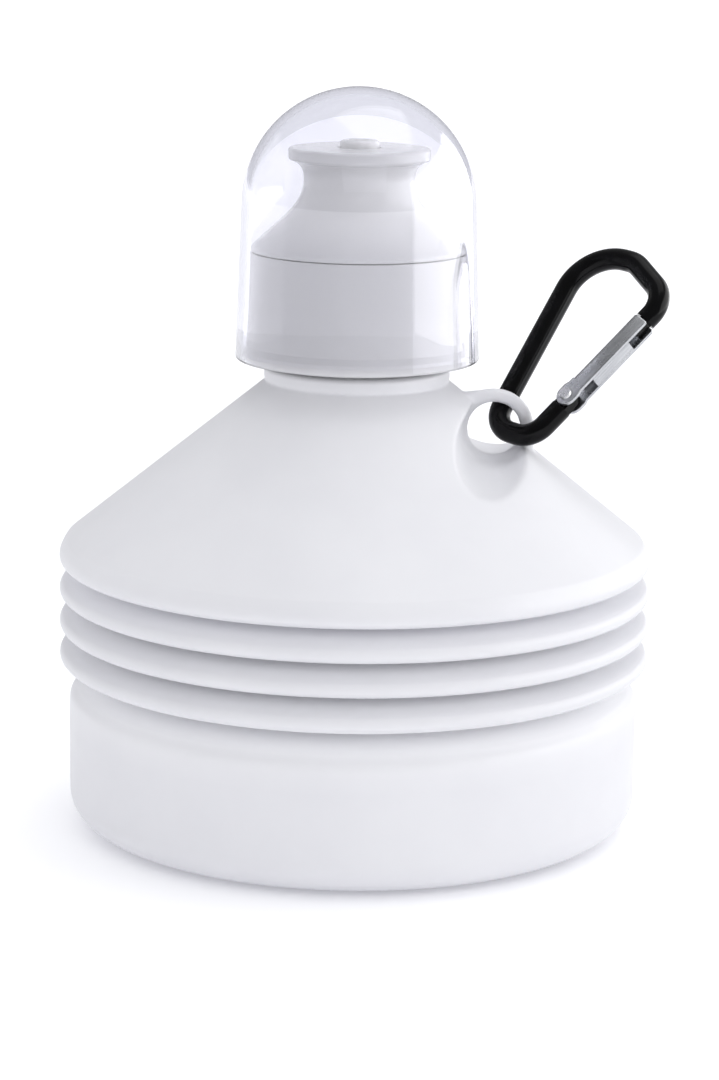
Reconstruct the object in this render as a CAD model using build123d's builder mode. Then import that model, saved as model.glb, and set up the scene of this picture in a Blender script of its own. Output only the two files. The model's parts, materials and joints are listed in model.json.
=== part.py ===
from build123d import *
from math import atan2, cos, radians, sin
import os

# Folding water bottle, collapsed, with a push-pull cap, a clear dome cover and a small carabiner.
# Millimetres, +Z up. The origin is the centre of the foot, on the surface the bottle stands on.
# The moulded loop and its carabiner are on the +X side.

# ---------------------------------------------------------------- driving dimensions
wall = 1.2  # moulded bottle wall

base_r = 48.4
base_top_z = 24.1  # where the lowest fold starts
foot_r = 39.3
foot_inner_r = 36.0
foot_corner_z = 6.5  # height at which the foot's curve meets the straight side
foot_curve = ((45.4, 0.5), (48.4, 2.9))  # control points of the foot's outer curve
foot_inner_curve = ((47.2, 3.6), (44.8, 1.5))  # and of the same curve inside
push_up = 2.2  # how far the floor is raised in the middle
floor_edge_r, floor_edge_z = 33.0, 1.6  # where the raised floor turns down to the foot
base_side_top_z = 22.6  # where the straight side ends
base_corner = (48.1, 23.5)  # middle of the side's rounded top corner
base_rim_r = 47.4  # where the lowest folded wall starts

ridge_r = 50.0
ridge_bead_r = 1.3  # half the height of each ridge's rim
ridge_round_r = 1.29  # roundness of the rim, which leaves a hair of flat at its middle
ridge_depth = 3.0  # radial depth of a ridge ring
ridge_pitch = 5.6
first_ridge_z = 30.0
valley_r = 40.5
leg_t = 0.8  # thickness of a folded wall's leg
leg_foot = 1.4  # radial width of a leg where it meets its ridge
fold_gap = 0.12  # running gap between a folded wall and the ridge above it

rim_edge_h = 0.8  # height of the straight edge over the rim's round underside
cone_base_r, cone_base_z = 48.85, 49.6
cone_top_r, cone_top_z = 15.4, 76.65
collar_r, collar_bottom_z, collar_top_z = 15.6, 77.25, 79.2
collar_edge = 0.5  # chamfer on the collar's top edge
cavity_neck_z = 77.15  # where the cone's inside runs into the neck's bore
cavity_over = 1.0  # how far the cavity's cutter passes the open ends
neck_bore_r = 12.3
neck_root_r = 13.9
neck_top_z = 95.1

thread_pitch = 4.0
thread_turns = 2.0
thread_base_w, thread_crest_w = 2.2, 1.0
thread_root_sink = 0.3  # how deep a thread's root is buried in its wall
neck_thread_h = 1.35
neck_thread_z = 83.6
cap_thread_h = 1.45

cap_bottom_z, cap_top_z = 80.0, 98.5
cap_bottom_r, cap_top_r = 18.4, 18.05
cap_bore_r = 16.0
deck_t = 1.9
seal_t = 1.4
seal_gap = 0.1
seal_outer_r, seal_inner_r = 15.7, 11.8
cap_edge = 0.3  # chamfer on the cap's top edge
snap_bead_r, snap_bead_z, snap_bead_h = 19.1, 81.8, 1.2

spout_r, spout_bore_r, spout_top_z = 7.0, 5.4, 111.5
spout_bead_r = 7.8
spout_bead_z = (109.2, 109.8, 110.6)  # where the bead starts, reaches its full radius and starts to fall
pin_r, pin_top_z, pin_edge_r = 3.3, 116.9, 0.9
spoke_w, spoke_h, spoke_drop = 1.6, 2.0, 0.2  # the spokes end just under the spout's mouth
spoke_middle_r = 4.85

nozzle_bottom_z, nozzle_top_z = 98.9, 115.7
nozzle_rim_r, nozzle_neck_r, nozzle_flange_r = 17.95, 9.25, 11.84
nozzle_bore_r, nozzle_chamber_r, nozzle_hole_r = 7.2, 8.0, 3.55
nozzle_rim_t = 1.6
nozzle_rim_edge = (0.3, 0.4)  # width and height of the chamfer under the rim
nozzle_inner_edge_h = 0.5  # height of the rim's inner wall
bell_low = (12.9, 103.85)  # foot of the bell's hollow curve
bell_mid = (10.25, 107.1)
bell_neck_z = 110.2
flare_mid, flare_top = (9.75, 112.3), (11.2, 113.8)  # outward curve under the bite flange
flange_z = 114.7
flange_top_r = 11.2
nozzle_top_t = 2.0
chamber_z, bore_z, hollow_z = 105.6, 105.0, 103.2  # steps of the inside, from the top down
hollow_r = 11.4

dome_t = 1.2
dome_rim_r, dome_rim_z = 20.5, 80.4
dome_mid_r, dome_mid_z = 20.16, 90.0
dome_r, dome_centre_z = 19.6, 106.1

loop_x, loop_z = 23.2, 68.7
loop_t = 2.0
loop_outer_r = 6.8
loop_hole_r = 4.3
loop_edge = 0.8  # chamfer on the hole's edges
pocket_r = 5.6
pocket_draft = 4.0  # degrees
web_up, web_mid, web_down = 5.9, 0.6, -4.7  # heights of the plate's corners in the cone, from the loop

stock_r = 1.85
stock_end_gap = 0.25  # between the gate and the stock it closes against
hook_heading, hook_lean, hook_roll = 30.1, 24.1, 43.3  # how the carabiner hangs in the loop, degrees
hook_origin = (22.46, 0.42, 68.15)
spine_len = 36.5
foot_corner = (0.8, 8.56)  # where the narrow end meets the gate's line
shoulder_corner = (36.5, 10.2)
nose_corner = (31.6, 19.2)
foot_r1, foot_r2, shoulder_r1, shoulder_r2, nose_r = 4.5, 4.0, 8.0, 4.5, 4.5

gate_pivot_u = 9.6
gate_len = 17.9
gate_w, gate_depth, gate_sheet = 3.2, 3.7, 0.7
gate_heel_r = 1.9
tongue_t, tongue_r = 1.9, 1.45
nose_tongue_len = 2.7
tongue_sink = 0.5  # how far each tongue runs into the round stock
web_start = 2.9
core_start, core_end = 4.8, 13.4  # the gate is solid between its two slots
core_bottom_y = 0.1  # the spring runs under the core
web_gap = 0.2
gate_cut_over = 1.0  # how far the slot's cutter passes the gate's end
heel_slot_len = 6.0
rivet_r, rivet_hole_r = 0.75, 0.79
rivet_head_r, rivet_head_h, rivet_head_round = 1.2, 0.65, 0.5
rivet_head_sink, rivet_shank_over = 0.05, 0.1  # how far shank and heads run into each other
spring_wire_r, spring_len, spring_gap = 0.4, 8.0, 0.05

os.makedirs("parts", exist_ok=True)


def finish(piece, name):
    """Label a finished piece and write its STEP file."""
    piece.part.label = name
    export_step(piece.part, f"parts/{name}.step")


# ---------------------------------------------------------------- bottle: base cup
with BuildPart() as base_cup:
    with BuildSketch(Plane.XZ):
        with BuildLine():
            Polyline((0, push_up), (floor_edge_r, floor_edge_z), (foot_inner_r, 0), (foot_r, 0))
            Bezier((foot_r, 0), *foot_curve, (base_r, foot_corner_z))
            Line((base_r, foot_corner_z), (base_r, base_side_top_z))
            ThreePointArc((base_r, base_side_top_z), base_corner, (base_rim_r, base_top_z))
            Polyline(
                (base_rim_r, base_top_z),
                (base_rim_r - leg_foot, base_top_z),
                (base_r - wall, base_side_top_z),
                (base_r - wall, foot_corner_z),
            )
            Bezier((base_r - wall, foot_corner_z), *foot_inner_curve, (foot_r, wall))
            Polyline(
                (foot_r, wall),
                (foot_inner_r, wall),
                (floor_edge_r, floor_edge_z + wall),
                (0, push_up + wall),
                (0, push_up),
            )
        make_face()
    revolve(axis=Axis.Z)
finish(base_cup, "base_cup")


# ---------------------------------------------------------------- bottle: ridges and folded walls
def ridge_z(index):
    """Height of a ridge's middle, counted from the lowest."""
    return first_ridge_z + index * ridge_pitch


def fold_ring(index):
    """One round-rimmed ridge of the concertina."""
    with BuildPart() as ring:
        with BuildSketch(Plane.XZ) as section:
            with Locations((ridge_r - ridge_depth / 2, ridge_z(index))):
                Rectangle(ridge_depth, 2 * ridge_bead_r)
            fillet(section.vertices().group_by(Axis.X)[-1], ridge_round_r)
        revolve(axis=Axis.Z)
    return ring


def bellows_wall(low_z, high_z, end_r):
    """A folded wall: two legs that run in from one ridge to the valley and out to the next."""
    middle = (low_z + high_z) / 2
    with BuildPart() as folded:
        with BuildSketch(Plane.XZ):
            Polygon(
                (end_r, low_z),
                (end_r, low_z + leg_t),
                (valley_r + 2 * leg_t, middle),
                (end_r, high_z - leg_t),
                (end_r, high_z),
                (end_r - leg_foot, high_z),
                (valley_r, middle + leg_t / 2),
                (valley_r, middle - leg_t / 2),
                (end_r - leg_foot, low_z),
                align=None,
            )
        revolve(axis=Axis.Z)
    return folded


for number in range(3):
    finish(fold_ring(number), f"fold_ring_{number + 1}")

finish(
    bellows_wall(base_top_z, ridge_z(0) - ridge_bead_r - fold_gap, base_rim_r),
    "bellows_wall_1",
)
for number in range(3):
    finish(
        bellows_wall(
            ridge_z(number) + ridge_bead_r,
            ridge_z(number + 1) - ridge_bead_r - fold_gap,
            ridge_r - ridge_bead_r,
        ),
        f"bellows_wall_{number + 2}",
    )


# ---------------------------------------------------------------- threads
def thread_ridge(root_r, height, start_z, outward):
    """A right-hand helical ridge that stands out of a wall, or into a bore."""
    side = 1 if outward else -1
    with BuildPart() as ridge:
        with BuildLine() as path:
            Helix(thread_pitch, thread_pitch * thread_turns, root_r, center=(0, 0, start_z))
        with BuildSketch(Plane(origin=path.line @ 0, x_dir=(side, 0, 0), z_dir=path.line % 0)):
            Polygon(
                (-thread_root_sink, -thread_base_w / 2),
                (height, -thread_crest_w / 2),
                (height, thread_crest_w / 2),
                (-thread_root_sink, thread_base_w / 2),
                align=None,
            )
        sweep(is_frenet=True)
    return ridge


neck_thread = thread_ridge(neck_root_r, neck_thread_h, neck_thread_z, True)
cap_thread = thread_ridge(cap_bore_r, cap_thread_h, neck_thread_z + thread_pitch / 2, False)

# ---------------------------------------------------------------- bottle: shoulder, loop and neck
rim_z = ridge_z(3)
rim_bottom_z = rim_z - ridge_bead_r

with BuildPart() as shoulder_cavity:
    with BuildSketch(Plane.XZ):
        Polygon(
            (0, rim_bottom_z - cavity_over),
            (ridge_r - ridge_depth, rim_bottom_z - cavity_over),
            (ridge_r - ridge_depth, cone_base_z - wall),
            (neck_bore_r, cavity_neck_z),
            (neck_bore_r, neck_top_z + cavity_over),
            (0, neck_top_z + cavity_over),
            align=None,
        )
    revolve(axis=Axis.Z)
    # the wall around the loop's pockets
    with BuildSketch(Plane.XZ.offset(-ridge_r)):
        with Locations((loop_x, loop_z)):
            Circle(pocket_r + 2 * wall)
    extrude(amount=2 * ridge_r, mode=Mode.SUBTRACT)

with BuildPart() as shoulder:
    with BuildSketch(Plane.XZ):
        with BuildLine():
            Line((0, rim_bottom_z), (ridge_r - ridge_bead_r, rim_bottom_z))
            RadiusArc((ridge_r - ridge_bead_r, rim_bottom_z), (ridge_r, rim_z), -ridge_bead_r)
            Polyline(
                (ridge_r, rim_z),
                (ridge_r, rim_z + rim_edge_h),
                (cone_base_r, cone_base_z),
                (cone_top_r, cone_top_z),
                (collar_r, collar_bottom_z),
                (collar_r, collar_top_z - collar_edge),
                (collar_r - collar_edge, collar_top_z),
                (neck_root_r, collar_top_z),
                (neck_root_r, neck_top_z),
                (0, neck_top_z),
                (0, rim_bottom_z),
            )
        make_face()
    revolve(axis=Axis.Z)
    # pockets pinched into the cone in front of and behind the loop, open along Y
    for outward in (1, -1):
        with BuildSketch(Plane.XZ.offset(outward * loop_t / 2)):
            with Locations((loop_x, loop_z)):
                Circle(pocket_r)
        extrude(amount=outward * ridge_r, taper=-pocket_draft, mode=Mode.SUBTRACT)
    # the loop's plate, from the cone's wall out to its round end
    with BuildSketch(Plane.XZ):
        with Locations((loop_x, loop_z)):
            Circle(loop_outer_r)
        Polygon(
            (loop_x, loop_z + loop_outer_r),
            (loop_x - loop_outer_r, loop_z + web_up),
            (loop_x, loop_z + web_mid),
            (loop_x + loop_outer_r, loop_z + web_down),
            (loop_x + loop_outer_r, loop_z),
            align=None,
        )
    extrude(amount=loop_t / 2, both=True)
    add(shoulder_cavity.part, mode=Mode.SUBTRACT)
    # the loop's hole, with its edges eased on both faces
    with BuildSketch(Plane.XZ):
        with Locations((loop_x, loop_z)):
            Circle(loop_hole_r)
    extrude(amount=loop_t, both=True, mode=Mode.SUBTRACT)
    for outward in (1, -1):
        with BuildSketch(Plane.XZ.offset(outward * (loop_t / 2 - loop_edge))):
            with Locations((loop_x, loop_z)):
                Circle(loop_hole_r)
        extrude(amount=outward * loop_edge, taper=-45, mode=Mode.SUBTRACT)
    add(neck_thread.part)
finish(shoulder, "shoulder")

# ---------------------------------------------------------------- cap: seal, base, nozzle and cover
with BuildPart() as cap_seal:
    with BuildSketch(Plane.XY.offset(neck_top_z + seal_gap)):
        Circle(seal_outer_r)
        Circle(seal_inner_r, mode=Mode.SUBTRACT)
    extrude(amount=seal_t - seal_gap)
finish(cap_seal, "cap_seal")

deck_z = cap_top_z - deck_t
spoke_z = spout_top_z - spoke_h

with BuildPart() as cap_base:
    with BuildSketch(Plane.XZ):
        with BuildLine():
            Polyline(
                (cap_bore_r, cap_bottom_z),
                (cap_bottom_r, cap_bottom_z),
                (cap_bottom_r, snap_bead_z - snap_bead_h),
            )
            ThreePointArc(
                (cap_bottom_r, snap_bead_z - snap_bead_h),
                (snap_bead_r, snap_bead_z),
                (cap_bottom_r, snap_bead_z + snap_bead_h),
            )
            Polyline(
                (cap_bottom_r, snap_bead_z + snap_bead_h),
                (cap_top_r, cap_top_z - cap_edge),
                (cap_top_r - cap_edge, cap_top_z),
                (spout_r, cap_top_z),
                (spout_r, spout_bead_z[0]),
                (spout_bead_r, spout_bead_z[1]),
                (spout_bead_r, spout_bead_z[2]),
                (spout_r, spout_top_z),
                (spout_bore_r, spout_top_z),
                (spout_bore_r, deck_z),
                (cap_bore_r, deck_z),
                (cap_bore_r, cap_bottom_z),
            )
        make_face()
    revolve(axis=Axis.Z)
    # closing pin on three spokes across the spout's mouth
    with BuildSketch(Plane.XY.offset(spoke_z)):
        Circle(pin_r)
    extrude(amount=pin_top_z - spoke_z)
    fillet(cap_base.edges().group_by(Axis.Z)[-1], pin_edge_r)
    with BuildSketch(Plane.XY.offset(spoke_z)):
        with PolarLocations(spoke_middle_r, 3):
            Rectangle(spout_r - pin_r, spoke_w)
    extrude(amount=spoke_h - spoke_drop)
    add(cap_thread.part)
finish(cap_base, "cap_base")

with BuildPart() as nozzle:
    with BuildSketch(Plane.XZ):
        with BuildLine():
            Polyline(
                (nozzle_rim_r - nozzle_rim_edge[0], nozzle_bottom_z),
                (nozzle_rim_r, nozzle_bottom_z + nozzle_rim_edge[1]),
                bell_low,
            )
            ThreePointArc(bell_low, bell_mid, (nozzle_neck_r, bell_neck_z))
            ThreePointArc((nozzle_neck_r, bell_neck_z), flare_mid, flare_top)
            ThreePointArc(flare_top, (nozzle_flange_r, flange_z), (flange_top_r, nozzle_top_z))
            Polyline(
                (flange_top_r, nozzle_top_z),
                (nozzle_hole_r, nozzle_top_z),
                (nozzle_hole_r, nozzle_top_z - nozzle_top_t),
                (nozzle_chamber_r, nozzle_top_z - nozzle_top_t),
                (nozzle_chamber_r, chamber_z),
                (nozzle_bore_r, bore_z),
                (nozzle_bore_r, hollow_z),
                (hollow_r, hollow_z),
                (nozzle_rim_r - nozzle_rim_t, nozzle_bottom_z + nozzle_inner_edge_h),
                (nozzle_rim_r - nozzle_rim_t, nozzle_bottom_z),
                (nozzle_rim_r - nozzle_rim_edge[0], nozzle_bottom_z),
            )
        make_face()
    revolve(axis=Axis.Z)
finish(nozzle, "nozzle")

with BuildPart() as dust_cover:
    with BuildSketch(Plane.XZ):
        with BuildLine():
            Polyline((dome_rim_r, dome_rim_z), (dome_mid_r, dome_mid_z), (dome_r, dome_centre_z))
            RadiusArc((dome_r, dome_centre_z), (0, dome_centre_z + dome_r), -dome_r)
            Line((0, dome_centre_z + dome_r), (0, dome_centre_z + dome_r - dome_t))
            RadiusArc(
                (0, dome_centre_z + dome_r - dome_t),
                (dome_r - dome_t, dome_centre_z),
                dome_r - dome_t,
            )
            Polyline(
                (dome_r - dome_t, dome_centre_z),
                (dome_mid_r - dome_t, dome_mid_z),
                (dome_rim_r - dome_t, dome_rim_z),
                (dome_rim_r, dome_rim_z),
            )
        make_face()
    revolve(axis=Axis.Z)
finish(dust_cover, "dust_cover")

# ---------------------------------------------------------------- carabiner
# The carabiner is flat. Its own plane has x along the spine, y from the spine to the gate.
heading, lean, roll = radians(hook_heading), radians(hook_lean), radians(hook_roll)
spine_dir = Vector(sin(heading) * cos(lean), sin(lean), cos(heading) * cos(lean))
level_dir = Vector(0, 1, 0).cross(spine_dir).normalized()
back_dir = spine_dir.cross(level_dir)
across_dir = level_dir * cos(roll) - back_dir * sin(roll)
hook_plane = Plane(origin=hook_origin, x_dir=spine_dir, z_dir=spine_dir.cross(across_dir))

gate_slope = atan2(nose_corner[1] - foot_corner[1], nose_corner[0] - foot_corner[0])
pivot = (
    gate_pivot_u,
    foot_corner[1] + (gate_pivot_u - foot_corner[0]) * (nose_corner[1] - foot_corner[1])
    / (nose_corner[0] - foot_corner[0]),
)
gate_plane = Plane(
    origin=hook_plane.from_local_coords(Vector(*pivot, 0)),
    x_dir=spine_dir * cos(gate_slope) + across_dir * sin(gate_slope),
    z_dir=hook_plane.z_dir,
)


def along_gate(distance):
    """A point of the carabiner's plane on the gate's line, measured from the rivet."""
    return (pivot[0] + distance * cos(gate_slope), pivot[1] + distance * sin(gate_slope))


heel_end = -(gate_heel_r + stock_end_gap)
nose_end = gate_len + stock_end_gap

with BuildPart() as carabiner_body:
    with BuildLine(hook_plane) as stock_path:
        FilletPolyline(
            along_gate(heel_end),
            foot_corner,
            (foot_corner[0], 0),
            (spine_len, 0),
            shoulder_corner,
            nose_corner,
            along_gate(nose_end),
            radius=[foot_r1, foot_r2, shoulder_r1, shoulder_r2, nose_r],
        )
    with BuildSketch(Plane(origin=stock_path.line @ 0, z_dir=stock_path.line % 0)):
        Circle(stock_r)
    sweep()
    # flat tongues that the gate straddles
    with BuildSketch(gate_plane):
        Circle(tongue_r)
        with Locations((heel_end / 2 - tongue_sink, 0)):
            Rectangle(2 * tongue_sink - heel_end, 2 * tongue_r)
        with Locations((nose_end + tongue_sink - nose_tongue_len / 2, web_gap / 2)):
            Rectangle(nose_tongue_len + 2 * tongue_sink, gate_w - 2 * gate_sheet - web_gap)
        Circle(rivet_r, mode=Mode.SUBTRACT)
    extrude(amount=tongue_t / 2, both=True)
finish(carabiner_body, "carabiner_body")

with BuildPart() as carabiner_gate:
    with BuildSketch(gate_plane):
        Circle(gate_heel_r)
        with Locations((gate_len / 2, 0)):
            Rectangle(gate_len, gate_w)
        with Locations((0, gate_heel_r), (0, -gate_heel_r)):
            Rectangle(2 * gate_heel_r, 2 * (gate_heel_r - gate_w / 2), mode=Mode.SUBTRACT)
    extrude(amount=gate_depth / 2, both=True)
    # slot between the cheeks, with the web on the inner side
    with BuildSketch(gate_plane):
        with Locations((gate_len / 2, gate_sheet)):
            Rectangle(gate_len + gate_cut_over, gate_w)
        with Locations((web_start - heel_slot_len / 2, 0)):
            Rectangle(heel_slot_len, 2 * gate_w)
    extrude(amount=gate_depth / 2 - gate_sheet, both=True, mode=Mode.SUBTRACT)
    # the core closes the slot's outer side between the two ends
    with BuildSketch(gate_plane):
        with Locations(((core_start + core_end) / 2, (core_bottom_y + gate_w / 2) / 2)):
            Rectangle(core_end - core_start, gate_w / 2 - core_bottom_y)
    extrude(amount=gate_depth / 2 - gate_sheet, both=True)
    with BuildSketch(gate_plane):
        Circle(rivet_hole_r)
    extrude(amount=gate_depth, both=True, mode=Mode.SUBTRACT)
finish(carabiner_gate, "carabiner_gate")

with BuildPart() as gate_rivet:
    with BuildSketch(gate_plane):
        Circle(rivet_r)
    extrude(amount=gate_depth / 2 + rivet_shank_over, both=True)
    for side in (1, -1):
        with BuildSketch(gate_plane.offset(side * (gate_depth / 2 + rivet_head_sink))):
            Circle(rivet_head_r)
        extrude(amount=side * rivet_head_h)
    rivet_axis = Axis(gate_plane.origin, gate_plane.z_dir)
    for end in (0, -1):
        fillet(gate_rivet.edges().filter_by(GeomType.CIRCLE).sort_by(rivet_axis)[end], rivet_head_round)
finish(gate_rivet, "gate_rivet")

spring_y = gate_sheet - gate_w / 2 + spring_wire_r + spring_gap
spring_start = gate_plane.from_local_coords(Vector(web_start, spring_y, 0))

with BuildPart() as gate_spring:
    with BuildSketch(Plane(spring_start, z_dir=gate_plane.x_dir)):
        Circle(spring_wire_r)
    extrude(amount=spring_len)
finish(gate_spring, "gate_spring")
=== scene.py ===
import json
import math

import bmesh
import bpy
import numpy as np
from mathutils import Matrix, Vector


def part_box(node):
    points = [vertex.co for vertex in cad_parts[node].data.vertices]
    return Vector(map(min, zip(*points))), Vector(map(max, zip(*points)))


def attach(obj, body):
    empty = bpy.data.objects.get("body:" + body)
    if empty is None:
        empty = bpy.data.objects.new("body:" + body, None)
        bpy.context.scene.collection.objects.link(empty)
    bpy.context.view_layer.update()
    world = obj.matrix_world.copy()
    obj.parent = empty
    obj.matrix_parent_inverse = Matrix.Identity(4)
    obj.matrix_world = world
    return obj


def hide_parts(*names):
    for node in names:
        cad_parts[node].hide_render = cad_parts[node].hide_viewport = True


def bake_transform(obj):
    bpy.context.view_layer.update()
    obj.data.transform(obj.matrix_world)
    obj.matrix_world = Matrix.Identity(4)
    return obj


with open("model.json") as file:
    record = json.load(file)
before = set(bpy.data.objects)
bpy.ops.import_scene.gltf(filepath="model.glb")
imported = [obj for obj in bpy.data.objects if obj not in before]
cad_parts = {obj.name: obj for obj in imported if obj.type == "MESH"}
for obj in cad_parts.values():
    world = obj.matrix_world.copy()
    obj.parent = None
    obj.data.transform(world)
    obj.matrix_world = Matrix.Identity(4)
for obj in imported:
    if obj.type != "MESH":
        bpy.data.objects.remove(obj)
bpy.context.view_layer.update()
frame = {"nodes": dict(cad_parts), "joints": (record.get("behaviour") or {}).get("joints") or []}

MM = 0.001
scene = bpy.context.scene
AROUND = 256  # segments round a turned piece
TINY = 1e-6


# ---------------------------------------------------------------- sizes, in millimetres
def node_box(name):
    """A CAD node's lowest and highest corners, in millimetres."""
    low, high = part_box(name)
    return low / MM, high / MM


RING_LOW, RING_HIGH = node_box("fold_ring_1")
RIDGE_R = RING_HIGH.x
RIDGE_BEAD = (RING_HIGH.z - RING_LOW.z) / 2  # radius of a ridge's round rim
RIDGE_Z = [(low.z + high.z) / 2 for low, high in (node_box(f"fold_ring_{k}") for k in (1, 2, 3))]
RIDGE_PITCH = RIDGE_Z[1] - RIDGE_Z[0]
RIDGE_Z.append(RIDGE_Z[2] + RIDGE_PITCH)  # the fourth ridge is the shoulder's own rim
BEAD_ANGLE = math.radians(70)  # how far a ridge's round rim reaches above and below its middle
VALLEY_R = 40.8
LEG_T = 0.8  # thickness of a folded wall
PAINTED_GLOW_R, PAINTED_GLOW_Z = (46.0, 49.4), (18.0, 24.0)  # where painted light turns the folded walls paler, inwards and upwards, in place of light through the thin wall
STRETCH = next(j for j in frame["joints"] if j["name"] == "bellows_stretch")["range_m"][1] / MM

BASE_HIGH = node_box("base_cup")[1]
BASE_R, BASE_TOP_Z = BASE_HIGH.x, BASE_HIGH.z
BASE_RIM = (BASE_R - 1.35, BASE_TOP_Z)  # where the lowest folded wall starts
FLOOR_FLAT_R = 20.0
FOOT_R, FOOT_INNER_R, PUSH_UP = 39.3, 36.0, 2.2
FOOT_CORNER_Z = 6.5  # where the foot's curve meets the straight side
CORNER_REACH = 2.9  # height of the curve at the side's top corner

CONE_LOW = (48.85, 49.6)
CONE_HIGH = (15.4, 76.65)
COLLAR_R, COLLAR_TOP_Z, COLLAR_EDGE = 15.6, 79.2, 0.5
COLLAR_RISE = 0.6  # height of the step from the cone to the collar
RIM_CUT_Z = RIDGE_Z[3] - 0.9  # the rim's own piece is below, the remeshed shoulder above
RIM_OVERLAP = 0.02
LOOP = Vector((23.2, 0.0, 68.7))  # middle of the loop's hole
LOOP_OUTER_R, POCKET_R = 6.8, 5.6
LOOP_ROOT_X = 12.0  # the loop and its pocket are beyond this
POCKET_SIDE_X = 10.0  # the skin within this is all on the turned shape
SKIN_REACH = 0.55  # points this near the turned shape belong to the skin
VOXEL = 0.35 * MM


# ---------------------------------------------------------------- mesh helpers
def new_object(name, verts_mm, faces):
    """A smooth-shaded mesh object from vertices in millimetres."""
    mesh = bpy.data.meshes.new(name)
    mesh.from_pydata([(x * MM, y * MM, z * MM) for x, y, z in verts_mm], [], faces)
    mesh.update()
    mesh.polygons.foreach_set("use_smooth", [True] * len(mesh.polygons))
    obj = bpy.data.objects.new(name, mesh)
    scene.collection.objects.link(obj)
    return obj


def lathe(name, profile, sharp_degrees=35, around=AROUND):
    """A turned piece: profile is a list of (radius, height) points in millimetres, anticlockwise round
    the section. Corners sharper than sharp_degrees keep a crisp edge."""
    n = len(profile)
    verts, faces, rings = [], [], []
    for r, z in profile:
        if r < TINY:
            rings.append([len(verts)] * around)
            verts.append((0.0, 0.0, z))
            continue
        rings.append(list(range(len(verts), len(verts) + around)))
        for k in range(around):
            a = 2 * math.pi * k / around
            verts.append((r * math.cos(a), r * math.sin(a), z))
    for i in range(n):
        low, high = rings[i], rings[(i + 1) % n]
        for k in range(around):
            corners = [low[k], low[(k + 1) % around], high[(k + 1) % around], high[k]]
            corners = list(dict.fromkeys(corners))
            if len(corners) > 2:
                faces.append(corners)
    obj = new_object(name, verts, faces)
    obj.data.set_sharp_from_angle(angle=math.radians(sharp_degrees))
    return obj


def arc(centre, radius, start, end, steps=10):
    """Points of a round stretch of a profile, angles in degrees from +r towards +z."""
    out = []
    for i in range(steps + 1):
        a = math.radians(start + (end - start) * i / steps)
        out.append((centre[0] + radius * math.cos(a), centre[1] + radius * math.sin(a)))
    return out


def bezier(p0, p1, p2, p3, steps=14):
    """Points of a cubic curve of a profile."""
    out = []
    for i in range(steps + 1):
        t = i / steps
        weights = ((1 - t) ** 3, 3 * t * (1 - t) ** 2, 3 * t * t * (1 - t), t ** 3)
        points = (p0, p1, p2, p3)
        out.append(tuple(sum(w * p[axis] for w, p in zip(weights, points)) for axis in (0, 1)))
    return out


def rounded(points, radii, steps=6):
    """A profile's corners rounded: a corner with radius 0 stays as it is."""
    out = []
    n = len(points)
    for i, (p, r) in enumerate(zip(points, radii)):
        if r <= 0:
            out.append(tuple(p))
            continue
        here = Vector(p)
        to_last = (Vector(points[i - 1]) - here).normalized()
        to_next = (Vector(points[(i + 1) % n]) - here).normalized()
        half = to_last.angle(to_next) / 2
        reach = r / math.tan(half)
        centre = here + (to_last + to_next).normalized() * r / math.sin(half)
        a, b = here + to_last * reach - centre, here + to_next * reach - centre
        turn = a.angle(b)
        for k in range(steps + 1):
            s = k / steps
            d = (a * math.sin((1 - s) * turn) + b * math.sin(s * turn)) / math.sin(turn)
            out.append(tuple(centre + d))
    return out


def offset_in(points, distance):
    """An open profile moved sideways by distance, to the left of its direction."""
    pts = [Vector(p) for p in points]
    out = []
    for i, p in enumerate(pts):
        a = (p - pts[i - 1]).normalized() if i else (pts[1] - p).normalized()
        b = (pts[i + 1] - p).normalized() if i < len(pts) - 1 else a
        d = (a + b).normalized()
        out.append((p.x - d.y * distance, p.y + d.x * distance))
    return out


# ---------------------------------------------------------------- material helpers
def new_material(name):
    """A node material, its tree and its Principled shader."""
    mat = bpy.data.materials.new(name)
    mat.use_nodes = True
    tree = mat.node_tree
    shader = next(n for n in tree.nodes if n.type == "BSDF_PRINCIPLED")
    return mat, tree, shader


def add_node(tree, kind, **values):
    """A node with its properties and plain input values set by name."""
    node = tree.nodes.new(kind)
    for key, value in values.items():
        if hasattr(node, key):
            setattr(node, key, value)
        else:
            node.inputs[key.replace("_", " ")].default_value = value
    return node


def noise(tree, scale, detail, stretch=(1, 1, 1)):
    """Noise fixed to the object, in features per metre, stretched along its axes."""
    coords = add_node(tree, "ShaderNodeTexCoord")
    mapping = add_node(tree, "ShaderNodeMapping")
    mapping.inputs["Scale"].default_value = stretch
    tex = add_node(tree, "ShaderNodeTexNoise", Scale=scale, Detail=detail)
    tree.links.new(coords.outputs["Object"], mapping.inputs["Vector"])
    tree.links.new(mapping.outputs["Vector"], tex.inputs["Vector"])
    return tex.outputs["Fac"]


def place_on_object(tree):
    """Distance from the object's Z axis and height above its origin, in metres."""
    coords = add_node(tree, "ShaderNodeTexCoord")
    level = add_node(tree, "ShaderNodeVectorMath", operation="MULTIPLY")
    level.inputs[1].default_value = (1, 1, 0)
    radius = add_node(tree, "ShaderNodeVectorMath", operation="LENGTH")
    split = add_node(tree, "ShaderNodeSeparateXYZ")
    tree.links.new(coords.outputs["Object"], level.inputs[0])
    tree.links.new(level.outputs["Vector"], radius.inputs[0])
    tree.links.new(coords.outputs["Object"], split.inputs["Vector"])
    return radius.outputs["Value"], split.outputs["Z"]


def two_values(tree, operation, first, second):
    """The result of a sum, product or difference of two values."""
    node = add_node(tree, "ShaderNodeMath", operation=operation)
    tree.links.new(first, node.inputs[0])
    tree.links.new(second, node.inputs[1])
    return node.outputs["Value"]


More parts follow.
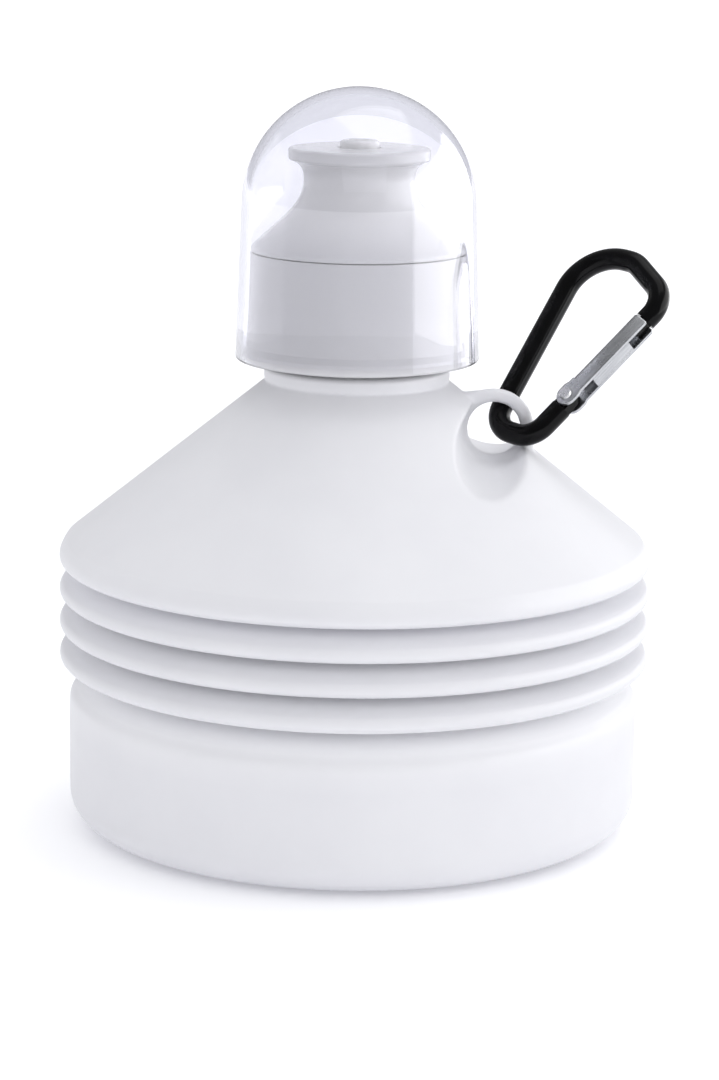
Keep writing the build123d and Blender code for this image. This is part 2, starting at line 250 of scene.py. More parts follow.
def mix_colours(tree, share, first, second):
    """A blend from the first colour to the second, each of them three numbers or a node's output."""
    mix = add_node(tree, "ShaderNodeMix", data_type="RGBA")
    sockets = [socket for socket in mix.inputs if socket.type == "RGBA"]
    for socket, colour in zip(sockets, (first, second)):
        if isinstance(colour, tuple):
            socket.default_value = (*colour, 1)
        else:
            tree.links.new(colour, socket)
    tree.links.new(share, mix.inputs["Factor"])
    return next(socket for socket in mix.outputs if socket.type == "RGBA")


def ramp(tree, value, low, high, start=0.3, end=0.7):
    """A value between start and end turned into a blend from low to high (numbers or colours). The usual
    start and end are those of noise, which seldom goes beyond them."""
    node = add_node(tree, "ShaderNodeMapRange", From_Min=start, From_Max=end)
    tree.links.new(value, node.inputs["Value"])
    if isinstance(low, (int, float)):
        node.inputs["To Min"].default_value = low
        node.inputs["To Max"].default_value = high
        return node.outputs["Result"]
    return mix_colours(tree, node.outputs["Result"], low, high)


def add_bump(tree, shader, height, depth_mm, strength=1.0):
    """Bump whose full height is depth_mm."""
    node = add_node(tree, "ShaderNodeBump", Strength=strength, Distance=depth_mm * MM)
    tree.links.new(height, node.inputs["Height"])
    tree.links.new(node.outputs["Normal"], shader.inputs["Normal"])


def let_lamps_through(tree, shader, colour, share):
    """A clear or milky wall throws only a pale shadow: a share of each lamp's light goes straight through
    each of its faces. Returns the output node."""
    path = add_node(tree, "ShaderNodeLightPath")
    part = add_node(tree, "ShaderNodeMath", operation="MULTIPLY")
    part.inputs[1].default_value = share
    clear = add_node(tree, "ShaderNodeBsdfTransparent")
    clear.inputs["Color"].default_value = (*colour, 1)
    mix = add_node(tree, "ShaderNodeMixShader")
    out = next(n for n in tree.nodes if n.type == "OUTPUT_MATERIAL")
    tree.links.new(path.outputs["Is Shadow Ray"], part.inputs[0])
    tree.links.new(part.outputs[0], mix.inputs[0])
    tree.links.new(shader.outputs[0], mix.inputs[1])
    tree.links.new(clear.outputs[0], mix.inputs[2])
    tree.links.new(mix.outputs[0], out.inputs["Surface"])
    return out


def ldpe_material(name, painted_glow=False):
    """Blow-moulded low-density polyethylene: milky white, satin, with a faint waxy mottling. Where asked,
    the folds get
    painted light: paler inwards from the ridges, in place of the light that comes through the thin wall
    into the grooves."""
    mat, tree, shader = new_material(name)
    colour = ramp(tree, noise(tree, 60, 4), (0.765, 0.765, 0.795), (0.795, 0.795, 0.822))
    # painted light: the folds turn paler in the grooves, where light through the thin wall would lift the
    # shade
    if painted_glow:
        radius, height = place_on_object(tree)
        inward = ramp(tree, radius, 1.0, 0.0, PAINTED_GLOW_R[0] * MM, PAINTED_GLOW_R[1] * MM)
        above_foot = ramp(tree, height, 0.0, 1.0, PAINTED_GLOW_Z[0] * MM, PAINTED_GLOW_Z[1] * MM)
        share = two_values(tree, "MULTIPLY", inward, above_foot)
        colour = mix_colours(tree, share, colour, (0.925, 0.925, 0.94))
    tree.links.new(colour, shader.inputs["Base Color"])
    tree.links.new(ramp(tree, noise(tree, 220, 3), 0.4, 0.5), shader.inputs["Roughness"])
    shader.inputs["IOR"].default_value = 1.51
    shader.inputs["Specular IOR Level"].default_value = 0.45
    add_bump(tree, shader, noise(tree, 900, 2), 0.02, 0.35)
    let_lamps_through(tree, shader, (0.98, 0.98, 1.0), 0.95)
    return mat


def pp_material(name, rough_low, rough_high):
    """Injection-moulded polypropylene: white, glossier than the bottle, with a trace of flow marks."""
    mat, tree, shader = new_material(name)
    flow = noise(tree, 90, 3, (1, 1, 0.25))
    colour = ramp(tree, flow, (0.785, 0.78, 0.762), (0.815, 0.81, 0.792))
    tree.links.new(colour, shader.inputs["Base Color"])
    tree.links.new(ramp(tree, noise(tree, 300, 2), rough_low, rough_high), shader.inputs["Roughness"])
    shader.inputs["IOR"].default_value = 1.49
    add_bump(tree, shader, noise(tree, 1400, 2), 0.01, 0.3)
    return mat


def clear_material():
    """Clear polystyrene with a cool tint."""
    mat, tree, shader = new_material("clear_dome")
    shader.inputs["Base Color"].default_value = (0.975, 0.975, 0.985, 1)
    shader.inputs["Transmission Weight"].default_value = 1.0
    shader.inputs["IOR"].default_value = 1.5
    tree.links.new(ramp(tree, noise(tree, 40, 2), 0.0, 0.02), shader.inputs["Roughness"])
    out = let_lamps_through(tree, shader, (0.93, 0.93, 0.94), 1.0)
    # the wall's own tint, which deepens where it is seen edge on
    tint = add_node(tree, "ShaderNodeVolumeAbsorption")
    tint.inputs["Color"].default_value = (0.82, 0.822, 0.89, 1)
    tint.inputs["Density"].default_value = 330
    tree.links.new(tint.outputs[0], out.inputs["Volume"])
    return mat


def black_material():
    """Black anodised bar, semi-gloss, with fine handling marks."""
    mat, tree, shader = new_material("black_anodised")
    colour = ramp(tree, noise(tree, 250, 3), (0.001, 0.001, 0.0012), (0.003, 0.003, 0.0036))
    tree.links.new(colour, shader.inputs["Base Color"])
    tree.links.new(ramp(tree, noise(tree, 700, 4), 0.14, 0.22), shader.inputs["Roughness"])
    shader.inputs["Specular IOR Level"].default_value = 0.16
    add_bump(tree, shader, noise(tree, 2500, 2), 0.004, 0.2)
    return mat


def metal_material(name, colour_low, colour_high, rough_low, rough_high, grain):
    """Bare metal with drawn or brushed grain; grain stretches the noise along the object's axes."""
    mat, tree, shader = new_material(name)
    shader.inputs["Metallic"].default_value = 1.0
    lines = noise(tree, 1800, 3, grain)
    tree.links.new(ramp(tree, lines, colour_low, colour_high), shader.inputs["Base Color"])
    tree.links.new(ramp(tree, noise(tree, 500, 3), rough_low, rough_high), shader.inputs["Roughness"])
    add_bump(tree, shader, lines, 0.004, 0.25)
    return mat


def seal_material():
    """Soft foam washer."""
    mat, tree, shader = new_material("seal_foam")
    cells = noise(tree, 3000, 2)
    tree.links.new(ramp(tree, cells, (0.7, 0.7, 0.7), (0.82, 0.82, 0.81)), shader.inputs["Base Color"])
    shader.inputs["Roughness"].default_value = 0.8
    add_bump(tree, shader, cells, 0.05)
    return mat


LDPE = ldpe_material("ldpe_white")
# the folds' material, with painted light that turns them paler in the grooves
LDPE_PAINTED_GLOW = ldpe_material("ldpe_folds_painted_glow", painted_glow=True)
PP_CAP = pp_material("pp_cap", 0.16, 0.24)
PP_NOZZLE = pp_material("pp_nozzle", 0.14, 0.22)
CLEAR = clear_material()
BLACK = black_material()
GATE_METAL = metal_material(
    "gate_aluminium", (0.42, 0.43, 0.45), (0.6, 0.61, 0.63), 0.22, 0.34, grain=(0.06, 1, 1)
)
RIVET_METAL = metal_material(
    "rivet_steel", (0.55, 0.55, 0.56), (0.68, 0.68, 0.69), 0.18, 0.28, grain=(1, 1, 1)
)
SPRING_METAL = metal_material(
    "spring_steel", (0.45, 0.45, 0.46), (0.6, 0.6, 0.61), 0.25, 0.35, grain=(1, 1, 0.2)
)
SEAL = seal_material()


def paint(obj, material):
    """Give an object one material in place of any that it has."""
    obj.data.materials.clear()
    obj.data.materials.append(material)


def dress(obj, material, slot, body, *nodes):
    """Give a piece its material, its body and the CAD nodes it stands for.
    A blended piece has no body of its own. The slot argument is not used."""
    paint(obj, material)
    if body:
        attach(obj, body)
    if nodes:
        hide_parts(*nodes)


# ---------------------------------------------------------------- bottle
def shell_section(outer):
    """A closed section from an outer profile that runs upward, and its inner side."""
    return outer + offset_in(outer, LEG_T)[::-1]


def foot_profile():
    """Raised floor, foot, straight side and top corner, up to the rim where the folds begin."""
    outer = [(0, PUSH_UP), (FLOOR_FLAT_R, PUSH_UP - 0.1)]
    ring = [
        (FLOOR_FLAT_R, PUSH_UP), (FOOT_INNER_R - 2.5, PUSH_UP - 0.4),
        (FOOT_INNER_R + 0.4, 0), (FOOT_R, 0),
    ]
    outer += rounded(ring, [0, 2.0, 1.5, 0])[1:]
    outer += bezier((FOOT_R, 0), (BASE_R - 3, 0.5), (BASE_R, 2.9), (BASE_R, FOOT_CORNER_Z))[1:]
    outer += bezier(
        (BASE_R, BASE_TOP_Z - CORNER_REACH), (BASE_R, BASE_TOP_Z - 1.2),
        (BASE_R - 0.3, BASE_TOP_Z - 0.9), BASE_RIM,
    )
    return outer


def wall_profile(start, end, steps=28):
    """Outer profile of a folded wall from one ridge in to the valley and out to the next ridge. Its points
    are spaced so that the blend, which eases its stretch, draws the two legs out straight."""
    rise = end[1] - start[1]
    out = []
    for i in range(2 * steps + 1):
        t = i / (2 * steps)
        eased = 3 * t * t - 2 * t ** 3
        share = 2 * (rise * t + STRETCH * eased) / (rise + STRETCH)
        edge = start[0] if t <= 0.5 else end[0]
        inward = share if t <= 0.5 else 2 - share
        out.append((edge - (edge - VALLEY_R) * inward, start[1] + rise * t))
    return out


def bead_end(z, side):
    """Where a ridge's round rim meets the folded wall above (side 1) or below (side -1)."""
    centre = RIDGE_R - RIDGE_BEAD
    return (centre + RIDGE_BEAD * math.cos(BEAD_ANGLE), z + side * RIDGE_BEAD * math.sin(BEAD_ANGLE))


def ridge_profile(z):
    """The round rim of one ridge."""
    reach = math.degrees(BEAD_ANGLE)
    return arc((RIDGE_R - RIDGE_BEAD, z), RIDGE_BEAD, -reach, reach, 24)


def make_fold(name, foot, end, low_body, high_body, *nodes):
    """A stiff profile and the folded wall above it, in one piece, with no body of its own.
    low_body and high_body are not used."""
    start = foot[-1]
    outer = foot + wall_profile(start, end)[1:]
    fold = lathe(name, shell_section(outer))
    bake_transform(fold)
    # its material carries painted light: paler in the grooves than on the ridges
    dress(fold, LDPE_PAINTED_GLOW, "bottle_ldpe", None, *nodes)


def rim_profile():
    """The thicker rim at the shoulder's edge, up to the arris where the cone begins."""
    z = RIDGE_Z[3]
    outer = arc((RIDGE_R - RIDGE_BEAD, z), RIDGE_BEAD, -math.degrees(BEAD_ANGLE), 0, 14)
    below_arris = (CONE_LOW[0] + 0.6, CONE_LOW[1] - 0.9)
    return outer + bezier((RIDGE_R, z + 0.1), (RIDGE_R, z + 1.0), below_arris, CONE_LOW)


def make_shoulder_rim():
    """The underside of the shoulder's rim, below the remeshed shoulder."""
    outer = [q for q in rim_profile() if q[1] <= RIM_CUT_Z + RIM_OVERLAP]
    rim = lathe("bottle_shoulder_rim", shell_section(outer))
    dress(rim, LDPE, "bottle_ldpe", "shoulder")


def outer_radius(z):
    """Radius of the shoulder's outside at each height z (arrays, millimetres)."""
    rim = rim_profile()
    heights = [q[1] for q in rim]
    heights += [CONE_HIGH[1], CONE_HIGH[1] + COLLAR_RISE, COLLAR_TOP_Z - COLLAR_EDGE, COLLAR_TOP_Z]
    radii = [q[0] for q in rim] + [CONE_HIGH[0], COLLAR_R, COLLAR_R, COLLAR_R - COLLAR_EDGE]
    return np.interp(z, heights, radii)


def ease(x, low, high):
    """0 below low, 1 above high and smooth between (x is an array)."""
    t = np.clip((x - low) / (high - low), 0, 1)
    return t * t * (3 - 2 * t)


def from_loop(co):
    """How far points are from the axis of the loop's hole, and from the loop's middle plane."""
    return np.hypot(co[:, 0] - LOOP.x, co[:, 2] - LOOP.z), np.abs(co[:, 1])


def remeshed_shoulder():
    """A copy of the CAD shoulder with an even mesh, and that mesh."""
    shoulder = bpy.data.objects.new("bottle_shoulder", frame["nodes"]["shoulder"].data.copy())
    scene.collection.objects.link(shoulder)
    remesh = shoulder.modifiers.new("remesh", "REMESH")
    remesh.mode = "VOXEL"
    remesh.voxel_size = VOXEL
    bpy.context.view_layer.update()
    depsgraph = bpy.context.evaluated_depsgraph_get()
    mesh = bpy.data.meshes.new_from_object(shoulder.evaluated_get(depsgraph))
    shoulder.modifiers.clear()
    shoulder.data = mesh
    return shoulder, mesh


def relax_near_loop(mesh, co, rounds=14):
    """Ease the loop's and the pocket's edges by moving their points towards their neighbours."""
    count = len(co)
    edges = np.zeros(len(mesh.edges) * 2, int)
    mesh.edges.foreach_get("vertices", edges)
    a, b = edges[0::2], edges[1::2]
    degree = np.bincount(a, minlength=count) + np.bincount(b, minlength=count)
    beside, depth = from_loop(co)
    near_loop = (co[:, 0] > LOOP_ROOT_X) & (beside < POCKET_R + 2.5 + 0.12 * depth)
    share = 0.5 * near_loop[:, None]
    for _ in range(rounds):
        total = np.stack([
            np.bincount(a, co[b, k], count) + np.bincount(b, co[a, k], count) for k in range(3)
        ], 1)
        co += share * (total / degree[:, None] - co)


def set_on_turned_shape(co):
    """Move the skin's points onto the turned shape, away from the pocket's edge and the loop's root."""
    radius = np.hypot(co[:, 0], co[:, 1])
    wanted = outer_radius(co[:, 2])
    beside, depth = from_loop(co)
    off_pocket = ease(beside - (POCKET_R + 0.07 * depth), 0.5, 1.8)
    off_plate = np.maximum(
        ease(depth, 1.5, 2.6), ease(beside, LOOP_OUTER_R + 1.0, LOOP_OUTER_R + 2.5)
    )
    clear_of_loop = np.where(co[:, 0] < POCKET_SIDE_X, 1.0, off_pocket * off_plate)
    on_skin = np.abs(radius - wanted) < SKIN_REACH
    on_skin &= (co[:, 2] < COLLAR_TOP_Z - 0.2) & (co[:, 2] > RIM_CUT_Z - 0.4)
    scale = 1 + on_skin * clear_of_loop * (wanted / radius - 1)
    co[:, 0] *= scale
    co[:, 1] *= scale


def cut_rim_off(mesh):
    """Cut the shoulder off low on its rim, where the rim's own piece takes over, and close it."""
    bm = bmesh.new()
    bm.from_mesh(mesh)
    bmesh.ops.bisect_plane(
        bm, geom=bm.verts[:] + bm.edges[:] + bm.faces[:],
        plane_co=(0, 0, RIM_CUT_Z * MM), plane_no=(0, 0, -1), clear_outer=True,
    )
    bmesh.ops.holes_fill(bm, edges=[e for e in bm.edges if e.is_boundary], sides=0)
    bm.to_mesh(mesh)
    bm.free()


def make_shoulder():
    """The cone, pinched loop and threaded neck: the CAD solid, remeshed so that its edges can be eased.
    The cone and collar are then set back exactly on their turned shape."""
    shoulder, mesh = remeshed_shoulder()
    co = np.zeros(len(mesh.vertices) * 3)
    mesh.vertices.foreach_get("co", co)
    co = co.reshape(-1, 3) / MM
    relax_near_loop(mesh, co)
    set_on_turned_shape(co)
    mesh.vertices.foreach_set("co", (co * MM).ravel())
    cut_rim_off(mesh)
    mesh.polygons.foreach_set("use_smooth", [True] * len(mesh.polygons))
    mesh.set_sharp_from_angle(angle=math.radians(50))
    dress(shoulder, LDPE, "bottle_ldpe", "shoulder", "shoulder")


def make_bottle():
    """The whole blow-moulded bottle, from foot to neck."""
    bodies = ["base", "fold_1", "fold_2", "fold_3", "shoulder"]
    ends = [bead_end(z, -1) for z in RIDGE_Z]
    make_fold("bottle_base", foot_profile(), ends[0], "base", "fold_1", "base_cup", "bellows_wall_1")
    for k in (1, 2, 3):
        make_fold(
            f"bottle_fold_{k}", ridge_profile(RIDGE_Z[k - 1]), ends[k], bodies[k], bodies[k + 1],
            f"fold_ring_{k}", f"bellows_wall_{k + 1}",
        )
    make_shoulder_rim()
    make_shoulder()


# ---------------------------------------------------------------- cap, nozzle, cover
CAP_LOW_Z, DECK_UNDER_Z, DECK_Z = 80.0, 96.6, 98.5
SKIRT_INNER_R, SKIRT_LOW_R, SKIRT_R, SKIRT_TOP_R = 16.0, 18.4, 18.45, 18.05
SNAP_R, SNAP_LOW_Z, SNAP_HIGH_Z = 19.05, 81.5, 82.1  # the bead that holds the cover
SPOUT_R, SPOUT_BORE_R, SPOUT_LIP_R, SPOUT_TOP_Z = 7.0, 5.4, 7.8, 111.5
PIN_R, PIN_LOW_Z, PIN_TOP_Z = 3.3, 109.5, 116.9
DISH_R, DISH_DEPTH = 2.2, 0.5  # the hollow in the pin's top

BELL_INNER_R, BELL_R, BELL_LOW_Z = 16.35, 17.95, 98.64
FLANK_TOP = (12.9, 103.85)  # where the bell's straight flank bends up to the waist
WAIST = (9.25, 110.2)
FLANGE_ROOT = (10.35, 113.05)
FLANGE_R, FLANGE_LOW_Z, FLANGE_TOP_Z = 11.84, 113.7, 115.66
FLANGE_MID_R = 11.0  # on the flange's top, where the outline passes from outside to inside
PIN_HOLE_R, CHAMBER_R = 3.55, 8.0
SLEEVE_R, SLEEVE_OUTER_R, SLEEVE_LOW_Z, SLEEVE_TOP_Z = 7.2, 11.4, 103.2, 105.6

COVER_T, COVER_EDGE = 1.2, 0.35
COVER_R, COVER_LOW_Z = 20.5, 80.4
COVER_BEND = (20.16, 90.0)  # where the skirt's slope changes
DOME_R, DOME_Z = 19.6, 106.1


def make_cap():
    """Skirt with the snap bead that holds the cover, deck and spout."""
    outline = [
        (SKIRT_INNER_R, CAP_LOW_Z), (SKIRT_LOW_R, CAP_LOW_Z), (SKIRT_R, CAP_LOW_Z + 0.5),
        (SNAP_R, SNAP_LOW_Z), (SNAP_R, SNAP_HIGH_Z), (SKIRT_R, SNAP_HIGH_Z + 1.0),
        (SKIRT_TOP_R, DECK_Z), (SPOUT_R, DECK_Z), (SPOUT_R, SPOUT_TOP_Z - 2.3),
        (SPOUT_LIP_R, SPOUT_TOP_Z - 1.7), (SPOUT_LIP_R, SPOUT_TOP_Z - 0.9), (SPOUT_R, SPOUT_TOP_Z),
        (SPOUT_BORE_R, SPOUT_TOP_Z), (SPOUT_BORE_R, DECK_UNDER_Z), (SKIRT_INNER_R, DECK_UNDER_Z),
    ]
    radii = [0.3, 0.35, 0.2, 0.3, 0.3, 0.3, 0.18, 0.4, 0.2, 0.2, 0.2, 0.3, 0.3, 0.3, 0.3]
    cap = lathe("cap_body", rounded(outline, radii, 5))
    dress(cap, PP_CAP, "cap_pp", "cap", "cap_base")


def make_cap_pin():
    """The closing pin in the middle of the spout, with a dished top."""
    dish_z = PIN_TOP_Z - DISH_DEPTH
    outline = [
        (0, PIN_LOW_Z), (PIN_R, PIN_LOW_Z), (PIN_R, PIN_TOP_Z),
        (DISH_R, PIN_TOP_Z), (DISH_R - 0.3, dish_z), (0, dish_z),
    ]
    pin = lathe("cap_pin", rounded(outline, [0, 0.2, 0.6, 0.3, 0.3, 0], 5))
    dress(pin, PP_CAP, "cap_pp", "cap")


def make_nozzle():
    """Bell-shaped push-pull nozzle with its bite flange, hollow, and inside it a sleeve for the spout."""
    skirt = [
        (BELL_INNER_R, BELL_LOW_Z), (BELL_R - 0.02, BELL_LOW_Z), (BELL_R, BELL_LOW_Z + 0.66), FLANK_TOP,
    ]
    flank_on = (FLANK_TOP[0] - 2.0, FLANK_TOP[1] + 1.75)
    flange_back = (FLANGE_ROOT[0] - 0.75, FLANGE_ROOT[1] - 0.55)
    flange = [
        FLANGE_ROOT, (FLANGE_ROOT[0] + 0.45, FLANGE_ROOT[1] + 0.3), (FLANGE_R, FLANGE_LOW_Z),
        (FLANGE_R, FLANGE_TOP_Z), (FLANGE_MID_R, FLANGE_TOP_Z),
    ]
    inside = [
        (FLANGE_MID_R, FLANGE_TOP_Z), (PIN_HOLE_R, FLANGE_TOP_Z + 0.02), (PIN_HOLE_R, FLANGE_LOW_Z),
        (CHAMBER_R, FLANGE_LOW_Z), (CHAMBER_R, SLEEVE_TOP_Z), (SLEEVE_R, SLEEVE_TOP_Z - 0.6),
        (SLEEVE_R, SLEEVE_LOW_Z), (SLEEVE_OUTER_R, SLEEVE_LOW_Z),
    ]
    outline = rounded(skirt, [0.1, 0.12, 0.45, 0], 4)
    outline += bezier(FLANK_TOP, flank_on, (WAIST[0], WAIST[1] - 2.6), WAIST, 20)[1:]
    outline += bezier(WAIST, (WAIST[0], WAIST[1] + 1.4), flange_back, FLANGE_ROOT, 12)[1:]
    outline += rounded(flange, [0, 0.5, 0.5, 0.55, 0])[1:]
    outline += rounded(inside, [0, 0.35, 0.2, 0.4, 0.3, 0.3, 0.3, 0.4], 4)[1:]
    outline.append((BELL_INNER_R, BELL_LOW_Z + 0.76))
    nozzle = lathe("nozzle_bell", outline)
    dress(nozzle, PP_NOZZLE, "nozzle_pp", "nozzle", "nozzle")


def make_cover():
    """Clear dome cover: a slightly tapered skirt under a hemisphere, all of one wall thickness."""
    rim = [(COVER_R - COVER_T, COVER_LOW_Z), (COVER_R, COVER_LOW_Z), COVER_BEND]
    outline = rounded(rim, [COVER_EDGE, COVER_EDGE, 0], 4)
    outline += arc((0, DOME_Z), DOME_R, 0, 90, 96)
    outline += arc((0, DOME_Z), DOME_R - COVER_T, 90, 0, 96)
    outline.append((COVER_BEND[0] - COVER_T, COVER_BEND[1]))
    cover = lathe("dome_cover", outline, around=2 * AROUND)
    dress(cover, CLEAR, "cover_clear", "cover", "dust_cover")


# ---------------------------------------------------------------- carabiner's gate
GATE_LEN, GATE_HALF_W, GATE_HALF_DEPTH, GATE_SHEET = 17.9, 1.6, 1.85, 0.7
GATE_HEEL_R, WEB_START = 1.9, 2.9
HEEL_TAPER = (1.2, 1.9)  # where the cheeks narrow from the heel to the channel's width
NOSE_LEN, NOSE_TAPER = 0.25, 0.12  # the channel's tip is drawn in by this share of its width
CORE_START, CORE_END, CORE_BOTTOM = 4.8, 13.4, 0.1
RIVET_R, RIVET_HEAD_R, RIVET_HEAD_H = 0.75, 1.2, 0.65
PART_OVERLAP = 0.02  # how far one part of the gate reaches into the next
HOOK_HEADING, HOOK_LEAN = math.radians(30.1), math.radians(24.1)  # which way the carabiner's spine points
HOOK_ROLL = math.radians(43.3)  # how far the carabiner is turned about its spine
GATE_SLOPE = math.radians(19.058)  # between the closed gate and the spine


def gate_frame():
    """The gate's own frame: X along it from the rivet, Y outward, Z along the rivet."""
    spine = Vector((
        math.sin(HOOK_HEADING) * math.cos(HOOK_LEAN), math.sin(HOOK_LEAN),
        math.cos(HOOK_HEADING) * math.cos(HOOK_LEAN),
    ))
    level = Vector((0, 1, 0)).cross(spine).normalized()
    across = level * math.cos(HOOK_ROLL) - spine.cross(level) * math.sin(HOOK_ROLL)
    x_dir = spine * math.cos(GATE_SLOPE) + across * math.sin(GATE_SLOPE)
    z_dir = spine.cross(across)
    turn = Matrix((x_dir, z_dir.cross(x_dir), z_dir)).transposed().to_4x4()
    joint = next(j for j in frame["joints"] if j["name"] == "gate_open")
    return Matrix.Translation(joint["pos_m"]) @ turn


def sweep_along(sections):
    """Vertices and faces through closed sections given as (x, points)."""
    n = len(sections[0][1])
    verts = [(x, y, z) for x, points in sections for y, z in points]
    faces = []
    for i in range(len(sections) - 1):
        for k in range(n):
            m = (k + 1) % n
            faces.append((i * n + k, i * n + m, (i + 1) * n + m, (i + 1) * n + k))
    faces.append(tuple(range(n))[::-1])
    faces.append(tuple(range((len(sections) - 1) * n, len(sections) * n)))
    return verts, faces


def gate_channel():
    """The web and both cheeks, open outward, from the end of the heel to the tip."""
    w, d, t = GATE_HALF_W, GATE_HALF_DEPTH, GATE_SHEET
    corners = [(w, d), (-w, d), (-w, -d), (w, -d), (w, t - d), (t - w, t - d), (t - w, d - t), (w, d - t)]
    section = rounded(corners, [0.22, 1.1, 1.1, 0.22, 0.12, 0.35, 0.35, 0.12])
    tip = [(y * (1 - NOSE_TAPER), z * (1 - NOSE_TAPER / 2)) for y, z in section]
    return sweep_along([(WEB_START, section), (GATE_LEN - NOSE_LEN, section), (GATE_LEN, tip)])


def heel_section(half_width, side):
    """One cheek at the heel in its Y and Z, with a well rounded inner edge and a small outer one."""
    inner, outer = side * (GATE_HALF_DEPTH - GATE_SHEET), side * GATE_HALF_DEPTH
    corners = [(half_width, inner), (half_width, outer), (-half_width, outer), (-half_width, inner)]
    return rounded(corners, [0.12, 0.22, min(0.6, 0.8 * half_width), 0.1])


def gate_heel(side, steps=12):
    """One cheek's round end, past the rivet and on to the web."""
    widths = []
    for i in range(steps + 1):
        a = math.radians(90 * (1 - i / steps))
        widths.append((-GATE_HEEL_R * math.sin(a), max(GATE_HEEL_R * math.cos(a), 0.25)))
    widths += [(HEEL_TAPER[0], GATE_HEEL_R), (HEEL_TAPER[1], GATE_HALF_W)]
    widths.append((WEB_START + PART_OVERLAP, GATE_HALF_W))
    return sweep_along([(x, heel_section(half, side)) for x, half in widths])


def gate_core():
    """The core that closes the outer side between the slots for the stock's tongues."""
    low, high, side = CORE_BOTTOM, GATE_HALF_W, GATE_HALF_DEPTH - GATE_SHEET + PART_OVERLAP
    section = rounded([(high, side), (low, side), (low, -side), (high, -side)], [0.05] * 4, 2)
    return sweep_along([(CORE_START, section), (CORE_END, section)])


def set_normals_out(obj):
    """Turn every face of a mesh outward and keep its sharp edges crisp."""
    bm = bmesh.new()
    bm.from_mesh(obj.data)
    bmesh.ops.recalc_face_normals(bm, faces=bm.faces)
    bm.to_mesh(obj.data)
    bm.free()
    obj.data.set_sharp_from_angle(angle=math.radians(35))


def make_gate():
    """Pressed aluminium channel: a web down its inner side and two cheeks that run on to a round heel."""
    verts, faces = [], []
    for part_verts, part_faces in (gate_channel(), gate_heel(1), gate_heel(-1), gate_core()):
        faces += [tuple(q + len(verts) for q in face) for face in part_faces]
        verts += part_verts
    gate = new_object("carabiner_gate_channel", verts, faces)
    set_normals_out(gate)
    gate.matrix_world = gate_frame()
    dress(gate, GATE_METAL, "gate_aluminium", "gate", "carabiner_gate")


def make_rivet():
    """The gate's rivet: a stem through both cheeks, with a flattened round head on each."""
    seat = GATE_HALF_DEPTH - 0.05
    top = GATE_HALF_DEPTH + RIVET_HEAD_H
    outline = [(r, max(z, -top)) for r, z in arc((0, -seat), RIVET_HEAD_R, -90, 0)]
    outline += [(RIVET_R, -seat), (RIVET_R, seat)]
    outline += [(r, min(z, top)) for r, z in arc((0, seat), RIVET_HEAD_R, 0, 90)]
    rivet = lathe("carabiner_rivet", outline, sharp_degrees=50)
    rivet.matrix_world = gate_frame()
    dress(rivet, RIVET_METAL, "rivet_steel", "carabiner", "gate_rivet")


make_gate()
make_rivet()
make_bottle()
make_cap()
make_cap_pin()
make_nozzle()
make_cover()

CAD_FINISH = {
    "cap_seal": SEAL,
    "carabiner_body": BLACK,
    "gate_spring": SPRING_METAL,
}
for node, material in CAD_FINISH.items():
    paint(frame["nodes"][node], material)


# ---------------------------------------------------------------- stage, lights, camera
FLOOR_HALF = 9000  # millimetres, far beyond what any view shows
FLOOR_PAINTED_GLOW = (0.12, 0.4)  # painted light: the white table glows, faintly near the object and more further out, in place of lamp light that falls off with distance
FLOOR_GLOW_R = (0.3, 1.5)  # where it starts and ends to brighten, in metres
SKY_LEVEL = 0.76
SKY_SLOPE = (0.1, 0.26, 0.14)  # how much brighter the surroundings are towards +X, +Y and +Z
MIRRORED_SKY = 0.4  # share of the surroundings that glossy surfaces show
CAMERA_PLACE = (0.0008, -0.58, 0.176)  # metres
CAMERA_DOWN, CAMERA_ROLL = (math.radians(a) for a in (12.35, 0.75))
CAMERA_LENS = 116.5


def make_floor():
    """A white table that glows with painted light, brighter further out."""
    side = FLOOR_HALF
    corners = [(-side, -side, 0), (side, -side, 0), (side, side, 0), (-side, side, 0)]
    floor = new_object("floor", corners, [(0, 1, 2, 3)])
    mat, tree, shader = new_material("floor_white")
    shader.inputs["Base Color"].default_value = (0.97, 0.97, 0.98, 1)
    shader.inputs["Roughness"].default_value = 0.9
    shader.inputs["Specular IOR Level"].default_value = 0.0
    # painted light: an emission in place of lamp light, growing with the distance from the object
    shader.inputs["Emission Color"].default_value = (0.97, 0.97, 1.0, 1)
    radius, _ = place_on_object(tree)
    tree.links.new(ramp(tree, radius, *FLOOR_PAINTED_GLOW, *FLOOR_GLOW_R), shader.inputs["Emission Strength"])
    paint(floor, mat)


def softbox(name, place, target, size, power, diffuse=True, glossy=True):
    """A rectangular soft light aimed at a point; places and sizes in metres. Without diffuse it only adds
    reflections, and without glossy it adds none."""
    data = bpy.data.lights.new(name, "AREA")
    data.shape = "RECTANGLE"
    data.size, data.size_y = size
    data.energy = power
    light = bpy.data.objects.new(name, data)
    light.location = place
    light.rotation_euler = (Vector(target) - Vector(place)).to_track_quat("-Z", "Y").to_euler()
    light.visible_diffuse = diffuse
    light.visible_glossy = glossy
    scene.collection.objects.link(light)


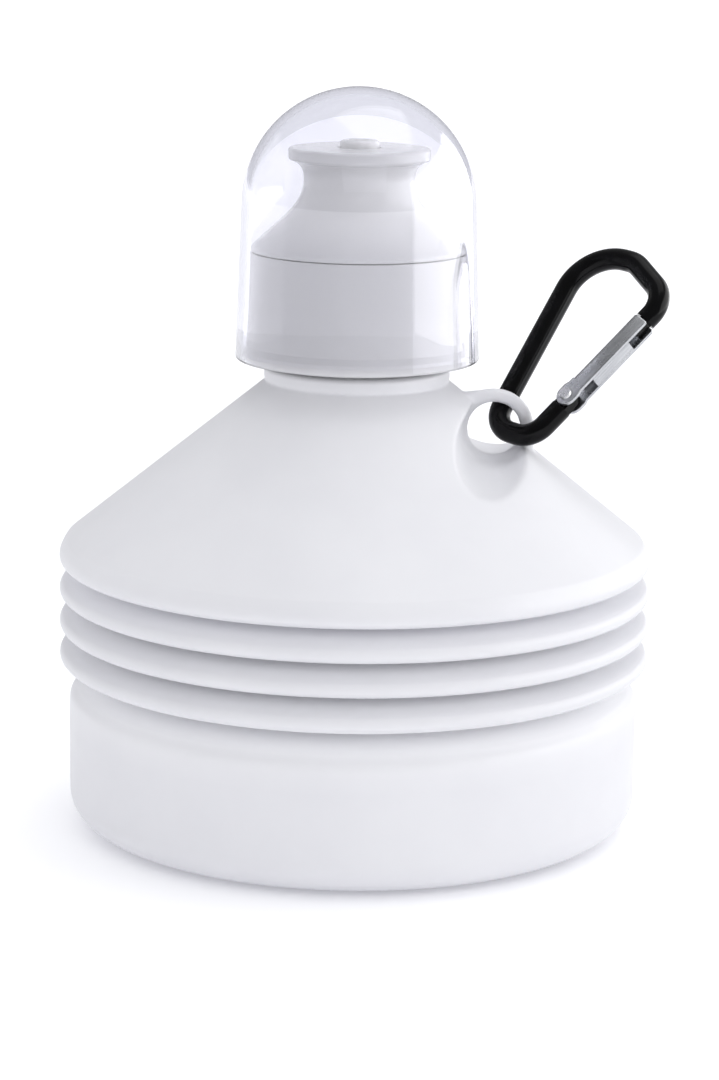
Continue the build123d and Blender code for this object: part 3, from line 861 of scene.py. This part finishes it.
def make_lights():
    """A large soft light from the right, one from above and a fill from the front. The two strips stand
    close beside the object and only add reflections."""
    softbox("right_softbox", (1.0, -0.15, 0.35), (0, 0, 0.09), (0.9, 0.8), 1.2)
    softbox("right_strip", (0.4, 0.07, 0.18), (0, 0, 0.18), (0.82, 0.34), 1.7, diffuse=False)
    softbox("left_strip", (-0.39, 0.12, 0.18), (0, 0, 0.18), (0.5, 0.34), 0.2, diffuse=False)
    softbox("top_softbox", (0.2, 0.1, 1.0), (0, 0, 0.05), (0.8, 0.8), 2)
    softbox("front_fill", (0.1, -0.95, 0.75), (0, 0, 0.05), (0.9, 0.6), 1.9, glossy=False)


def make_world():
    """White surroundings, dimmer behind the camera and to the left, brighter to the right, behind and
    above. What shines in glossy surfaces is dimmer, as in a room whose walls are dark between its lamps."""
    world = bpy.data.worlds.new("studio_white")
    scene.world = world
    world.use_nodes = True
    tree = world.node_tree
    coords = add_node(tree, "ShaderNodeTexCoord")
    dot = add_node(tree, "ShaderNodeVectorMath", operation="DOT_PRODUCT")
    dot.inputs[1].default_value = SKY_SLOPE
    total = add_node(tree, "ShaderNodeMath", operation="ADD")
    total.inputs[1].default_value = SKY_LEVEL
    tree.links.new(coords.outputs["Generated"], dot.inputs[0])
    tree.links.new(dot.outputs["Value"], total.inputs[0])
    path = add_node(tree, "ShaderNodeLightPath")
    mirrored = add_node(tree, "ShaderNodeMath", operation="SUBTRACT", use_clamp=True)
    tree.links.new(path.outputs["Is Glossy Ray"], mirrored.inputs[0])
    tree.links.new(path.outputs["Is Transmission Ray"], mirrored.inputs[1])
    shown = ramp(tree, mirrored.outputs["Value"], 1.0, MIRRORED_SKY, 0, 1)
    background = tree.nodes["Background"]
    background.inputs["Color"].default_value = (0.975, 0.98, 1.0, 1)
    strength = two_values(tree, "MULTIPLY", total.outputs["Value"], shown)
    tree.links.new(strength, background.inputs["Strength"])


def make_camera():
    """A long lens a little above the cover, looking slightly down."""
    data = bpy.data.cameras.new("camera")
    data.lens = CAMERA_LENS
    data.sensor_width = 36
    data.sensor_fit = "AUTO"
    camera = bpy.data.objects.new("camera", data)
    look = Matrix.Rotation(math.pi / 2 - CAMERA_DOWN, 4, "X") @ Matrix.Rotation(CAMERA_ROLL, 4, "Z")
    camera.matrix_world = Matrix.Translation(CAMERA_PLACE) @ look
    scene.collection.objects.link(camera)
    scene.camera = camera


make_floor()
make_world()
make_camera()
make_lights()
scene.view_settings.view_transform = "Standard"
